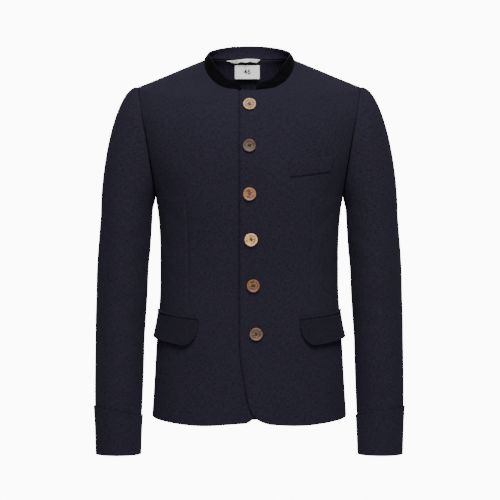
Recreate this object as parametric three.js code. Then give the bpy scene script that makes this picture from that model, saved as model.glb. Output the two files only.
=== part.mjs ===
// An alpine folk coat for a man: a short fitted jacket of dark blue cloth with a black stand collar, six antler
// buttons, two flapped pockets, a breast welt and turned-back cuffs. It keeps the hollow form that it has when worn.
// Millimetres, +Z up. The front faces -Y and the wearer's left is +X. The origin is the middle of the shoulders.
import * as THREE from "three";

// Driving sizes.
const bodyCloth = 2;
const trimCloth = 1.2;
const collarCloth = 1.5;
const linerCloth = 1;
const seamGap = 0.3;
const layerGap = 0.5;
const neck = { halfWidth: 82, topHalfWidth: 69, topFront: 71, topBack: 57 };
const shoulder = { tipX: 200, tipLevel: -46, edgePower: 8 };
const armhole = { bottomLevel: -245, halfDepth: 58, steps: 10 };
const hemLevel = -637;
const button = {
  radius: 11.5,
  thickness: 3.6,
  standOff: 0.8,
  sides: 20,
  bevel: 1,
  rim: 2.4,
  dish: 1.1,
  dishSlope: 1.6,
};

// The body at each level of its side seam: half width, depth to the front and to the back, how square the section
// is (2 is an ellipse), and how far the section tilts with the neckline. Between the armhole's ends the half width
// follows from the armhole instead, and above them from the shoulder line.
const bodyRings = [
  { level: -637, width: 174.5, front: 114, back: 113, square: 2.3, tilt: 0 },
  { level: -570, width: 170.3, front: 113, back: 112, square: 2.3, tilt: 0 },
  { level: -510, width: 167, front: 111, back: 108, square: 2.3, tilt: 0 },
  { level: -450, width: 162.5, front: 108, back: 101, square: 2.3, tilt: 0 },
  { level: -400, width: 160, front: 106, back: 97, square: 2.3, tilt: 0 },
  { level: -340, width: 160, front: 110, back: 100, square: 2.3, tilt: 0 },
  { level: -300, width: 161.5, front: 114, back: 106, square: 2.3, tilt: 0 },
  { level: -264, width: 165, front: 117, back: 110, square: 2.35, tilt: 0 },
  { level: -245, width: 168, front: 118, back: 112, square: 2.35, tilt: 0 },
  { level: -205, width: 168, front: 118, back: 114, square: 2.35, tilt: 0.02 },
  { level: -150, width: 168, front: 113, back: 110, square: 2.35, tilt: 0.09 },
  { level: -96, width: 168, front: 104, back: 100, square: 2.3, tilt: 0.27 },
  { level: -46, width: 168, front: 90, back: 84, square: 2.15, tilt: 0.55 },
  { level: 0, width: 82, front: 75, back: 62, square: 2, tilt: 1 },
];

// The half width over the shoulder, in front of its seam and behind it.
const roundShoulder = [
  { level: -96, width: 213.8 },
  { level: -75, width: 209.5 },
  { level: -58, width: 201 },
  { level: -44, width: 188 },
  { level: -30, width: 164 },
  { level: -14, width: 125 },
  { level: 0, width: 82 },
];

// The armhole seam's distance from the middle.
const armholeSeam = [
  { level: -245, x: 168 },
  { level: -229, x: 169.5 },
  { level: -195, x: 174 },
  { level: -161, x: 179.3 },
  { level: -126, x: 185 },
  { level: -96, x: 190.5 },
  { level: -70, x: 194.5 },
  { level: -46, x: 200 },
];

// Height of the neckline, how far the collar rises from it, and how far the hem drops, by the angle from the front.
const aroundNeck = [
  { angle: 0, seam: -58, rise: 14 },
  { angle: 30, seam: -52.5, rise: 14 },
  { angle: 45, seam: -44, rise: 17 },
  { angle: 60, seam: -30.5, rise: 22.5 },
  { angle: 75, seam: -14.5, rise: 23 },
  { angle: 90, seam: 0, rise: 22 },
  { angle: 115, seam: 7, rise: 23 },
  { angle: 140, seam: 9, rise: 24 },
  { angle: 180, seam: 9, rise: 24 },
];
const aroundHem = [
  { angle: 0, drop: -9 },
  { angle: 25, drop: -14 },
  { angle: 60, drop: -6 },
  { angle: 90, drop: 0 },
  { angle: 130, drop: -9 },
  { angle: 180, drop: -17 },
];
const hemBlendTop = -520;

// The front edges curve away below the last button. The top front laps over the under front.
const topEdge = [
  { level: -637, x: 32 },
  { level: -633, x: 24 },
  { level: -627, x: 18 },
  { level: -618, x: 11.7 },
  { level: -610, x: 5 },
  { level: -602, x: -0.5 },
  { level: -583, x: -5 },
  { level: -557, x: -11 },
  { level: -535, x: -14.5 },
  { level: -500, x: -17.1 },
];
const underEdge = [
  { level: -637, x: -22 },
  { level: -633, x: -12 },
  { level: -627, x: -6 },
  { level: -617, x: -1.7 },
  { level: -608, x: 5 },
  { level: -600, x: 8.5 },
  { level: -583, x: 14.5 },
  { level: -560, x: 18 },
];
const lap = { dip: 2.8, start: 2, width: 12 };

// Columns of the panels. The lap has some of its own, at set distances from the edge.
const frontColumns = { nearEdge: [0, 12, 24], restFrom: 36, rest: 8, underLap: 3, underRest: 7, underEdge: 4 };
const backColumns = 9;

// The sleeve below the armpit, at each level.
const sleeveRings = [
  { level: -704, x: 234.3, y: -18, width: 38.7, depth: 44 },
  { level: -650, x: 234.3, y: -15.5, width: 40.6, depth: 46 },
  { level: -609, x: 234, y: -13, width: 42.8, depth: 48 },
  { level: -544, x: 232.9, y: -9, width: 43.9, depth: 50.5 },
  { level: -501, x: 232.2, y: -6, width: 44.2, depth: 52.5 },
  { level: -458, x: 230.7, y: -3.5, width: 45.3, depth: 54.5 },
  { level: -415, x: 228.6, y: -2, width: 45.9, depth: 56.5 },
  { level: -372, x: 227, y: -1, width: 46, depth: 58.5 },
  { level: -330, x: 224.1, y: 0, width: 46.9, depth: 60.5 },
  { level: -275, x: 220.4, y: 0, width: 46.6, depth: 62 },
];
const sleeveLevels = [-300, -335, -375, -420, -465, -515, -565, -620, -661, -702];
const sleeveHead = {
  steps: [0, 0.1, 0.22, 0.38, 0.56, 0.78, 1],
  topReach: 36,
  lowReach: 6,
  fullness: 13,
  pull: 0.44,
  lowOut: 0.15,
  forward: 0.25,
  topLift: 1.12,
};
const cuff = { middleTop: -626.5, slant: 8.5, bottom: -704.4, fold: 1.7, thickness: 1.8, rows: 3 };

const flap = {
  innerX: 88.5,
  innerTop: -463,
  outerTop: -449,
  outerAngle: 88,
  height: 44,
  cornerStart: 0.3,
  cornerRadius: 22,
  lean: 4,
  standOff: 4.6,
  curl: 1.5,
  rows: 5,
  columns: 14,
};
const piping = { height: 5 };
const welt = { left: 67, right: 149, topLeft: -184.3, topRight: -173.8, height: 27.5, lean: 3.4, columns: 7 };
const facing = { halfWidth: 70, depth: 75, least: 7, rows: 6, columns: 16 };
const label = { left: -26, right: 19, top: -0.6, bottom: -25.4, rows: 3, columns: 6 };
const loop = { left: -41, right: 20, top: 7.8, bottom: 2.3, bow: 3, columns: 10 };
const collarRows = [0, 0.34, 0.67, 1];
const collarEnds = { left: -9.8, right: 8.2, round: 17, least: 0.16, nearEnds: [0, 1.5, 4, 8, 17], columns: 30 };

// The buttons' middles on the top front, from the neck down, and their tones.
const buttons = [
  { x: 0.5, z: -82.3, colour: 0xb39a7c },
  { x: 0.2, z: -157.3, colour: 0x7d6a57 },
  { x: 0.5, z: -241.8, colour: 0xad8560 },
  { x: 3.1, z: -321.3, colour: 0xc4a684 },
  { x: 7, z: -402.2, colour: 0x8f6141 },
  { x: 12, z: -486.8, colour: 0x86684f },
];

const clothFinish = { color: 0x252533, roughness: 0.95, metalness: 0 };
const blackFinish = { color: 0x0c0c10, roughness: 1, metalness: 0 };
const whiteFinish = { color: 0xf2f1ee, roughness: 0.8, metalness: 0 };
const ribbonFinish = { color: 0xe6e3d6, roughness: 0.7, metalness: 0 };

const coat = new THREE.Group();

// Reads one column of a table at any place, smoothly and without overshoot.
function read(table, key, name, at) {
  const last = table.length - 1;
  if (at <= table[0][key]) return table[0][name];
  if (at >= table[last][key]) return table[last][name];
  let row = 0;
  while (at > table[row + 1][key]) row += 1;
  const slope = (k) => (table[k + 1][name] - table[k][name]) / (table[k + 1][key] - table[k][key]);
  const tangent = (k) => {
    if (k === 0) return slope(0);
    if (k === last) return slope(last - 1);
    const before = slope(k - 1);
    const after = slope(k);
    return before * after <= 0 ? 0 : (2 * before * after) / (before + after);
  };
  const run = table[row + 1][key] - table[row][key];
  const t = (at - table[row][key]) / run;
  const start = table[row][name] * (1 + 2 * t) * (1 - t) ** 2 + run * tangent(row) * t * (1 - t) ** 2;
  const end = table[row + 1][name] * (3 - 2 * t) * t ** 2 - run * tangent(row + 1) * (1 - t) * t ** 2;
  return start + end;
}

const degrees = (angle) => THREE.MathUtils.radToDeg(angle);
const radians = (angle) => THREE.MathUtils.degToRad(angle);
const signedPower = (value, power) => Math.sign(value) * Math.abs(value) ** power;

// The angle from the front, from 0 at the front to 180 at the back, on either side.
function turn(angle) {
  const round = Math.abs(degrees(angle)) % 360;
  return round > 180 ? 360 - round : round;
}

const armholeMiddle = (shoulder.tipLevel + armhole.bottomLevel) / 2;
const armholeHalf = (shoulder.tipLevel - armhole.bottomLevel) / 2;

// The half width on the line of the side and shoulder seams.
function seamWidth(level) {
  if (level <= armhole.bottomLevel) return read(bodyRings, "level", "width", level);
  if (level >= shoulder.tipLevel) {
    return neck.halfWidth + ((shoulder.tipX - neck.halfWidth) * level) / shoulder.tipLevel;
  }
  const square = read(bodyRings, "level", "square", level);
  const seamY = armhole.halfDepth * Math.sqrt(1 - ((level - armholeMiddle) / armholeHalf) ** 2);
  const share = (seamY / read(bodyRings, "level", "front", level)) ** square;
  return read(armholeSeam, "level", "x", level) / (1 - share) ** (1 / square);
}

// Away from those seams the shoulder rounds over without the edge that it has at the tip.
function halfWidth(angle, level) {
  if (level < roundShoulder[0].level) return seamWidth(level);
  const edge = Math.abs(Math.sin(angle)) ** shoulder.edgePower;
  return edge * seamWidth(level) + (1 - edge) * read(roundShoulder, "level", "width", level);
}

function rise(angle, level) {
  const tilt = read(bodyRings, "level", "tilt", level) * read(aroundNeck, "angle", "seam", turn(angle));
  const blend = THREE.MathUtils.smoothstep(hemBlendTop - level, 0, hemBlendTop - hemLevel);
  return tilt + blend * read(aroundHem, "angle", "drop", turn(angle));
}

// A point on the outside of the body at an angle from the front and a level.
function bodyPoint(angle, level) {
  const power = 2 / read(bodyRings, "level", "square", level);
  const side = Math.cos(angle) > 0 ? "front" : "back";
  return new THREE.Vector3(
    halfWidth(angle, level) * signedPower(Math.sin(angle), power),
    -read(bodyRings, "level", side, level) * signedPower(Math.cos(angle), power),
    level + rise(angle, level),
  );
}

function bodyNormal(angle, level) {
  const across = bodyPoint(angle + 0.01, level).sub(bodyPoint(angle - 0.01, level));
  const up = bodyPoint(angle, level + 1).sub(bodyPoint(angle, level - 1));
  return across.cross(up).normalize();
}

// The angle at which the body's ring at a level reaches x.
function angleAt(x, level) {
  const square = read(bodyRings, "level", "square", level);
  let angle = Math.PI / 2;
  for (let pass = 0; pass < 12; pass += 1) {
    angle = Math.asin(Math.min(1, Math.abs(x) / halfWidth(angle, level)) ** (square / 2));
  }
  return Math.sign(x) * angle;
}

// The angle and level of the body at a place seen from the front, on the front or on the back.
function placeAt(x, z, onBack) {
  let level = z;
  let angle = 0;
  for (let pass = 0; pass < 12; pass += 1) {
    angle = angleAt(x, level);
    if (onBack) angle = Math.PI - angle;
    level = z - rise(angle, level);
  }
  return { angle, level };
}

function bodyStep(angle, level, lift) {
  const normal = bodyNormal(angle, level);
  return { point: bodyPoint(angle, level).addScaledVector(normal, lift), normal };
}

// A closed wall from a grid of steps on its outer face, each a point and a normal, with a second grid under it.
function wall(steps, thickness, closed) {
  const rows = steps.length;
  const columns = steps[0].length;
  const positions = [];
  for (const depth of [0, thickness]) {
    for (const row of steps) {
      for (const step of row) positions.push(...step.point.clone().addScaledVector(step.normal, -depth));
    }
  }
  const outer = (i, j) => i * columns + (j % columns);
  const inner = (i, j) => rows * columns + outer(i, j);
  const index = [];
  const quad = (a, b, c, d) => index.push(a, b, c, a, c, d);
  const lastColumn = closed ? columns : columns - 1;
  for (let i = 0; i < rows - 1; i += 1) {
    for (let j = 0; j < lastColumn; j += 1) {
      quad(outer(i, j), outer(i, j + 1), outer(i + 1, j + 1), outer(i + 1, j));
      quad(inner(i, j), inner(i + 1, j), inner(i + 1, j + 1), inner(i, j + 1));
    }
  }
  for (let j = 0; j < lastColumn; j += 1) {
    quad(outer(0, j), inner(0, j), inner(0, j + 1), outer(0, j + 1));
    quad(outer(rows - 1, j), outer(rows - 1, j + 1), inner(rows - 1, j + 1), inner(rows - 1, j));
  }
  if (!closed) {
    for (let i = 0; i < rows - 1; i += 1) {
      quad(outer(i, 0), outer(i + 1, 0), inner(i + 1, 0), inner(i, 0));
      quad(outer(i, columns - 1), inner(i, columns - 1), inner(i + 1, columns - 1), outer(i + 1, columns - 1));
    }
  }
  return solid(positions, index);
}

// A hoop whose cross-section is a closed outline, from the outline at each step round it.
function hoop(outlines) {
  const sides = outlines[0].length;
  const positions = outlines.flat().flatMap((point) => [...point]);
  const at = (i, j) => (i % outlines.length) * sides + (j % sides);
  const index = [];
  for (let i = 0; i < outlines.length; i += 1) {
    for (let j = 0; j < sides; j += 1) {
      index.push(at(i, j), at(i, j + 1), at(i + 1, j + 1));
      index.push(at(i, j), at(i + 1, j + 1), at(i + 1, j));
    }
  }
  return solid(positions, index);
}

// A geometry whose faces point out, whichever way its grid was walked.
function solid(positions, index) {
  const corner = (k) => new THREE.Vector3().fromArray(positions, 3 * index[k]);
  let volume = 0;
  for (let k = 0; k < index.length; k += 3) volume += corner(k).dot(corner(k + 1).cross(corner(k + 2)));
  if (volume < 0) index.reverse();
  const geometry = new THREE.BufferGeometry();
  geometry.setAttribute("position", new THREE.Float32BufferAttribute(positions, 3));
  geometry.setIndex(index);
  geometry.computeVertexNormals();
  return geometry;
}

// Steps with normals worked out from a grid of points.
function withNormals(points, closed) {
  const columns = points[0].length;
  const before = (j) => (closed ? (j + columns - 1) % columns : Math.max(0, j - 1));
  const after = (j) => (closed ? (j + 1) % columns : Math.min(columns - 1, j + 1));
  return points.map((row, i) =>
    row.map((point, j) => {
      const across = row[after(j)].clone().sub(row[before(j)]);
      const high = points[Math.min(points.length - 1, i + 1)][j];
      const up = high.clone().sub(points[Math.max(0, i - 1)][j]);
      return { point, normal: across.cross(up).normalize() };
    }),
  );
}

const shifted = (steps, lift) =>
  steps.map((row) => row.map(({ point, normal }) => ({ point: point.clone().addScaledVector(normal, lift), normal })));

function add(name, geometry, finish) {
  const mesh = new THREE.Mesh(geometry, new THREE.MeshStandardMaterial(finish));
  mesh.name = name;
  coat.add(mesh);
  return mesh;
}

// Levels of the body's rows: below the armhole, down the armhole as the sleeve's ring is stepped, and the shoulder.
const lowLevels = [-637, -632.5, -626, -617, -605, -586, -560, -520, -478, -438, -400, -360, -322, -288, -262];
const armholeLevels = [];
for (let k = 0; k <= armhole.steps; k += 1) {
  armholeLevels.push(armholeMiddle - armholeHalf * Math.cos((Math.PI * k) / armhole.steps));
}
const levels = [...lowLevels, ...armholeLevels, -30, -14, 0];

// Where a panel ends at its side: at the side seam and the shoulder seam, or at the armhole between them.
function sideAngle(level, depthName) {
  if (level > armhole.bottomLevel + 0.01 && level < shoulder.tipLevel - 0.01) {
    return angleAt(read(armholeSeam, "level", "x", level), level);
  }
  const square = read(bodyRings, "level", "square", level);
  const share = seamGap / 2 / read(bodyRings, "level", depthName, level);
  return Math.acos(share ** (square / 2));
}

const between = (start, end, count) => Array.from({ length: count + 1 }, (_, k) => start + ((end - start) * k) / count);

function makeFronts() {
  const topRows = levels.map((level) => {
    const edge = read(topEdge, "level", "x", level);
    const nearEdge = frontColumns.nearEdge.map((x) => angleAt(edge + x, level));
    const restStart = angleAt(edge + frontColumns.restFrom, level);
    const rest = between(restStart, sideAngle(level, "front"), frontColumns.rest);
    return [...nearEdge, ...rest].map((angle) => bodyStep(angle, level, 0));
  });
  add("front_left", wall(topRows, bodyCloth, false), clothFinish);

  // The under front dips behind the lap.
  const underRows = levels.map((level) => {
    const cover = read(topEdge, "level", "x", level) - lap.start;
    const edge = read(underEdge, "level", "x", level);
    const bend = Math.min(edge - frontColumns.underEdge, cover);
    const places = [...between(edge, bend, frontColumns.underLap), bend - lap.width / 2, bend - lap.width];
    const nearEdge = places.map((x) => angleAt(x, level));
    const rest = between(nearEdge.at(-1), -sideAngle(level, "front"), frontColumns.underRest).slice(1);
    return [...nearEdge, ...rest].reverse().map((angle) => {
      const step = bodyStep(angle, level, 0);
      const dip = lap.dip * THREE.MathUtils.smoothstep(step.point.x, cover - lap.width, cover);
      step.point.addScaledVector(step.normal, -dip);
      return step;
    });
  });
  add("front_right", wall(underRows, bodyCloth, false), clothFinish);
}

function makeBacks() {
  for (const [name, side] of [["back_left", 1], ["back_right", -1]]) {
    const rows = levels.map((level) => {
      const middle = Math.PI - angleAt(seamGap / 2, level);
      const angles = between(Math.PI - sideAngle(level, "back"), middle, backColumns);
      return angles.map((angle) => bodyStep(side * angle, level, 0));
    });
    add(name, wall(rows, bodyCloth, false), clothFinish);
  }
}

// The armhole at an angle round the sleeve: 0 is the shoulder tip, 90 the front and 180 the armpit.
function armholePoint(round) {
  const level = armholeMiddle + armholeHalf * Math.cos(round);
  const angle = angleAt(read(armholeSeam, "level", "x", level), level);
  return bodyPoint(Math.sin(round) < 0 ? Math.PI - angle : angle, level);
}

function sleeveRing(round, level, lift) {
  const place = (name) => read(sleeveRings, "level", name, level);
  const out = new THREE.Vector2(Math.cos(round) / place("width"), -Math.sin(round) / place("depth")).normalize();
  return new THREE.Vector3(
    place("x") + place("width") * Math.cos(round) + lift * out.x,
    place("y") - place("depth") * Math.sin(round) + lift * out.y,
    level,
  );
}

// The sleeve's head runs from the armhole to the first level ring, out over the top and down at the armpit.
function sleeveHeadPoint(round, t) {
  const start = armholePoint(round).add(new THREE.Vector3(seamGap, 0, 0));
  const end = sleeveRing(round, sleeveRings.at(-1).level, 0);
  const high = (1 + Math.cos(round)) / 2;
  const { lowOut, forward, topLift } = sleeveHead;
  const aside = lowOut + (1 - lowOut) * high ** 2;
  const out = new THREE.Vector3(aside, -forward * Math.sin(round), topLift * high ** 4 - 1).normalize();
  const reach = sleeveHead.lowReach + (sleeveHead.topReach - sleeveHead.lowReach) * high;
  const full = sleeveHead.fullness * Math.sin(round) ** 2;
  const first = start.clone().addScaledVector(out, reach + full);
  const second = end.clone().add(new THREE.Vector3(0, 0, sleeveHead.pull * (start.z - end.z)));
  return new THREE.CubicBezierCurve3(start, first, second, end).getPoint(t);
}

function makeSleeve(name, side) {
  const rounds = between(0, 2 * Math.PI, 2 * armhole.steps).slice(0, -1);
  const mirror = (point) => point.setX(side * point.x);
  const head = sleeveHead.steps.map((t) => rounds.map((round) => mirror(sleeveHeadPoint(round, t))));
  const tube = sleeveLevels.map((level) => rounds.map((round) => mirror(sleeveRing(round, level, 0))));
  const steps = withNormals([...head, ...tube], true);
  for (const step of steps.flat()) step.normal.multiplyScalar(side);
  add(name, wall(steps, bodyCloth, true), clothFinish);
}

// A band folded back over the sleeve's end, with the fold passing under it.
function makeCuff(name, side) {
  const end = sleeveLevels.at(-1);
  const outlines = between(0, 2 * Math.PI, 2 * armhole.steps).slice(0, -1).map((round) => {
    const top = cuff.middleTop + cuff.slant * Math.cos(round);
    const proud = seamGap + cuff.thickness;
    const outside = between(top, cuff.bottom, cuff.rows).map((level) => sleeveRing(round, level, proud));
    const under = sleeveRing(round, cuff.bottom, -bodyCloth);
    const inside = sleeveRing(round, cuff.bottom + cuff.fold, -bodyCloth);
    const back = between(cuff.bottom + cuff.fold, top, cuff.rows).map((level) => sleeveRing(round, level, seamGap));
    inside.z = Math.min(inside.z, end - seamGap);
    back[0].z = inside.z;
    return [...outside, under, inside, ...back].map((point) => point.setX(side * point.x));
  });
  add(name, hoop(outlines), clothFinish);
}

// The collar stands on the neckline and leans in. Its front ends are rounded down to the seam.
function makeCollar() {
  const start = radians(collarEnds.right);
  const end = 2 * Math.PI + radians(collarEnds.left);
  const nearEnds = collarEnds.nearEnds.map(radians);
  const middle = between(start + nearEnds.at(-1), end - nearEnds.at(-1), collarEnds.columns).slice(1, -1);
  const angles = [...nearEnds.map((a) => start + a), ...middle, ...nearEnds.map((a) => end - a).reverse()];
  const points = collarRows.map((share) =>
    angles.map((angle) => {
      const seam = bodyPoint(angle, 0);
      const depth = Math.cos(angle) > 0 ? neck.topFront : neck.topBack;
      const height = seam.z + read(aroundNeck, "angle", "rise", turn(angle));
      const top = new THREE.Vector3(neck.topHalfWidth * Math.sin(angle), -depth * Math.cos(angle), height);
      const up = top.sub(seam);
      const fromEnd = Math.min(angle - start, end - angle) / radians(collarEnds.round);
      const round = Math.sqrt(1 - (1 - Math.min(1, fromEnd)) ** 2);
      const full = up.length() * Math.max(collarEnds.least, round);
      return seam.addScaledVector(up.normalize(), layerGap + share * (full - layerGap));
    }),
  );
  const steps = withNormals(points, false);
  add("collar", wall(steps, collarCloth, false), blackFinish);
  add("collar_facing", wall(shifted(steps, -collarCloth - seamGap), collarCloth, false), clothFinish);
}

// The half-moon facing inside the back neck, the loop that hangs in front of it, and the size label.
function makeNeckInside() {
  const rows = between(0, 1, facing.rows).map((share) =>
    between(1, -1, facing.columns).map((across) => {
      const low = facing.least + (facing.depth - facing.least) * Math.sqrt(1 - across ** 2);
      const level = -seamGap - share * low;
      const angle = Math.PI - angleAt(across * facing.halfWidth, level);
      return bodyStep(angle, level, -bodyCloth - layerGap);
    }),
  );
  add("back_facing", wall(rows, linerCloth, false), clothFinish);

  const onFacing = bodyCloth + 2 * layerGap + linerCloth;
  const insideStep = (x, z, extra) => {
    const { angle, level } = placeAt(x, z, true);
    return bodyStep(angle, level, -onFacing - extra);
  };
  const labelRows = between(label.top, label.bottom, label.rows).map((z) =>
    between(label.left, label.right, label.columns).map((x) => insideStep(x, z, 0)),
  );
  add("label", wall(labelRows, linerCloth, false), whiteFinish);
  const loopRows = [loop.top, loop.bottom].map((z) =>
    between(0, 1, loop.columns).map((u) =>
      insideStep(loop.left + u * (loop.right - loop.left), z, loop.bow * Math.sin(Math.PI * u)),
    ),
  );
  add("hanger_loop", wall(loopRows, linerCloth, false), ribbonFinish);
}

// A flap hangs from a line that slants down to the front. Its front corner is round and its foot stands off.
function makePocket(side, name) {
  const outer = radians(flap.outerAngle);
  const topAt = (u) => flap.innerTop + (flap.outerTop - flap.innerTop) * u;
  const flapRows = between(0, 1, flap.rows).map((share) => {
    const low = Math.max(0, share - flap.cornerStart) / (1 - flap.cornerStart);
    const inset = flap.lean * share + flap.cornerRadius * (1 - Math.sqrt(1 - low ** 2));
    return between(0, 1, flap.columns).map((u) => {
      const level = topAt(u) - share * flap.height;
      const inner = angleAt(flap.innerX + inset, level);
      const lift = layerGap + flap.standOff * share ** flap.curl + bodyCloth;
      return bodyStep(side * (inner + (outer - inner) * u), level, lift);
    });
  });
  add("flap_" + name, wall(flapRows, bodyCloth, false), clothFinish);
  const pipingRows = [seamGap, piping.height].map((above) =>
    between(0, 1, flap.columns).map((u) => {
      const level = topAt(u) + above;
      const inner = angleAt(flap.innerX, level);
      return bodyStep(side * (inner + (outer - inner) * u), level, layerGap + trimCloth);
    }),
  );
  add("piping_" + name, wall(pipingRows, trimCloth, false), clothFinish);
}

function makeWelt() {
  const rows = between(0, 1, 2).map((down) =>
    between(0, 1, welt.columns).map((u) => {
      const x = welt.left + (welt.right - welt.left) * u + welt.lean * down * (1 - 3 * u);
      const z = welt.topLeft + (welt.topRight - welt.topLeft) * u - welt.height * down;
      const { angle, level } = placeAt(x, z, false);
      return bodyStep(angle, level, layerGap + trimCloth);
    }),
  );
  add("breast_welt", wall(rows, trimCloth, false), clothFinish);
}

function makeButtons() {
  const { radius, thickness, bevel, rim, dish, dishSlope } = button;
  const profile = [
    [0, 0],
    [radius - bevel, 0],
    [radius, bevel],
    [radius, thickness - bevel],
    [radius - bevel, thickness],
    [radius - rim, thickness],
    [radius - rim - dishSlope, thickness - dish],
    [0, thickness - dish],
  ].map(([x, y]) => new THREE.Vector2(x, y));
  buttons.forEach(({ x, z, colour }, k) => {
    const geometry = new THREE.LatheGeometry(profile, button.sides);
    const mesh = add("button_" + (k + 1), geometry, { color: colour, roughness: 0.45, metalness: 0 });
    const { angle, level } = placeAt(x, z, false);
    const { point, normal } = bodyStep(angle, level, button.standOff);
    mesh.position.copy(point);
    mesh.quaternion.setFromUnitVectors(new THREE.Vector3(0, 1, 0), normal);
  });
}

makeFronts();
makeBacks();
makeSleeve("sleeve_left", 1);
makeSleeve("sleeve_right", -1);
makeCuff("cuff_left", 1);
makeCuff("cuff_right", -1);
makeCollar();
makeNeckInside();
makePocket(1, "left");
makePocket(-1, "right");
makeWelt();
makeButtons();

export default coat;
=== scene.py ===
import math

import bmesh
import bpy
import numpy as np
from mathutils import Matrix, Vector


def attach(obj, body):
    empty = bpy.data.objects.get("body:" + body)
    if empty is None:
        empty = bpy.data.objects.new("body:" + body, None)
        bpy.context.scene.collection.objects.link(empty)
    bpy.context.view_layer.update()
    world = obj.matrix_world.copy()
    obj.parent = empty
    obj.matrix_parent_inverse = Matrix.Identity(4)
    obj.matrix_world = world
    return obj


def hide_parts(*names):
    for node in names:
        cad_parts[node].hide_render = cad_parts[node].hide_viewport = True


# Alpine folk coat. Pieces are drafted in millimetres, as on a cutting table, and made in metres.
# The front faces -Y, the wearer's left is +X and angles run round the body from the front.
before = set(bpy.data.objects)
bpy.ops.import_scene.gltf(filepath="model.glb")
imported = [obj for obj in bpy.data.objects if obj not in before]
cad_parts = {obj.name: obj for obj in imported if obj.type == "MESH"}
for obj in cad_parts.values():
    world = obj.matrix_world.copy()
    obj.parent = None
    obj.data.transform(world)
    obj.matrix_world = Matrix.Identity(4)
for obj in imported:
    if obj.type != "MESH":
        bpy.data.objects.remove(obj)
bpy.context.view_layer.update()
mm = 0.001
print("frame loaded:", len(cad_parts), "nodes")


def readColumn(table, key, name, at):  # a smooth reading between rows, without overshoot
    keys = np.array([row[key] for row in table], float)
    values = np.array([row[name] for row in table], float)
    steps = np.diff(keys)
    slopes = np.diff(values) / steps
    tangents = np.concatenate([slopes[:1], np.zeros(len(keys) - 2), slopes[-1:]])
    product, total = slopes[:-1] * slopes[1:], slopes[:-1] + slopes[1:]
    tangents[1:-1] = np.where(product > 0, 2 * product / np.where(product > 0, total, 1), 0)
    at = np.clip(at, keys[0], keys[-1])
    row = np.clip(np.searchsorted(keys, at, side="right") - 1, 0, len(steps) - 1)
    t = (at - keys[row]) / steps[row]
    start = values[row] * (1 + 2 * t) * (1 - t) ** 2 + steps[row] * tangents[row] * t * (1 - t) ** 2
    end = values[row + 1] * (3 - 2 * t) * t ** 2 - steps[row] * tangents[row + 1] * (1 - t) * t ** 2
    return start + end


def smoothStep(value, low, high):
    t = np.clip((value - low) / (high - low), 0, 1)
    return t * t * (3 - 2 * t)


def signedPower(value, power):
    return np.sign(value) * np.abs(value) ** power


def unit(vectors):
    return vectors / np.maximum(np.linalg.norm(vectors, axis=-1, keepdims=True), 1e-9)


def pinched(count, pinch):  # 0 to 1 in steps that are finer at both ends
    t = np.linspace(0, 1, count + 1)
    return t - pinch * np.sin(2 * np.pi * t) / (2 * np.pi)


def sizeTable(columns, rows):  # rows of sizes under named columns
    return [dict(zip(columns.split(), row)) for row in rows]


body = {
    "neckHalfWidth": 82, "tipX": 200, "tipLevel": -46, "armpitLevel": -245, "armholeHalfDepth": 58,
    "hemLevel": -637, "hemBlendTop": -520, "edgePower": 8, "roundFrom": -130, "roundFull": -80,
    "fullCloth": 2, "cloth": 1.8, "seamGap": 0.3,
    "rows": 104, "armholeRows": 72, "shoulderRows": 24,
    "rings": sizeTable("level width front back square tilt", [
        (-637, 174.5, 114, 113, 2.3, 0), (-570, 170.3, 113, 112, 2.3, 0), (-510, 167, 111, 108, 2.3, 0),
        (-450, 162.5, 108, 101, 2.3, 0), (-400, 160, 106, 97, 2.3, 0), (-340, 160, 110, 100, 2.3, 0),
        (-300, 161.5, 114, 106, 2.3, 0), (-264, 165, 117, 110, 2.35, 0), (-245, 168, 118, 112, 2.35, 0),
        (-205, 168, 118, 114, 2.35, 0.02), (-150, 168, 113, 110, 2.35, 0.09),
        (-96, 168, 104, 100, 2.3, 0.27), (-46, 168, 90, 84, 2.15, 0.55), (0, 82, 75, 62, 2, 1),
    ]),
    "roundShoulder": sizeTable("level width", [
        (-96, 213.8), (-75, 209.5), (-58, 201), (-44, 188), (-30, 164), (-14, 125), (0, 82),
    ]),
    "armholeSeam": sizeTable("level x", [
        (-245, 168), (-229, 169.5), (-195, 174), (-161, 179.3), (-126, 185), (-96, 190.5), (-70, 194.5),
        (-46, 200),
    ]),
    "aroundNeck": sizeTable("angle seam", [
        (0, -58), (30, -52.5), (45, -44), (60, -30.5), (75, -14.5), (90, 0), (115, 7), (140, 9), (180, 9),
    ]),
    "aroundHem": sizeTable("angle drop", [
        (0, -5.5), (25, -10.5), (60, -4.5), (90, 0), (130, -9), (180, -17),
    ]),
}
armholeMiddle = (body["tipLevel"] + body["armpitLevel"]) / 2
armholeHalf = (body["tipLevel"] - body["armpitLevel"]) / 2


def ring(name, level):
    return readColumn(body["rings"], "level", name, level)


def turnOf(angle):  # degrees from the front, the same on both sides
    return 180 - np.abs(np.abs(np.degrees(angle)) % 360 - 180)


def seamWidth(level):
    share = np.clip((level - armholeMiddle) / armholeHalf, -1, 1)
    seamY = body["armholeHalfDepth"] * np.sqrt(1 - share ** 2)
    square = ring("square", level)
    crowd = (seamY / ring("front", level)) ** square
    atArmhole = readColumn(body["armholeSeam"], "level", "x", level) / (1 - crowd) ** (1 / square)
    slope = (body["tipX"] - body["neckHalfWidth"]) / body["tipLevel"]
    onShoulder = body["neckHalfWidth"] + slope * level
    below = np.where(level <= body["armpitLevel"], ring("width", level), atArmhole)
    return np.where(level >= body["tipLevel"], onShoulder, below)


def halfWidth(angle, level):
    edge = np.abs(np.sin(angle)) ** body["edgePower"]
    over = readColumn(body["roundShoulder"], "level", "width", level)
    share = (1 - edge) * smoothStep(level, body["roundFrom"], body["roundFull"])
    return (1 - share) * seamWidth(level) + share * over


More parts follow.
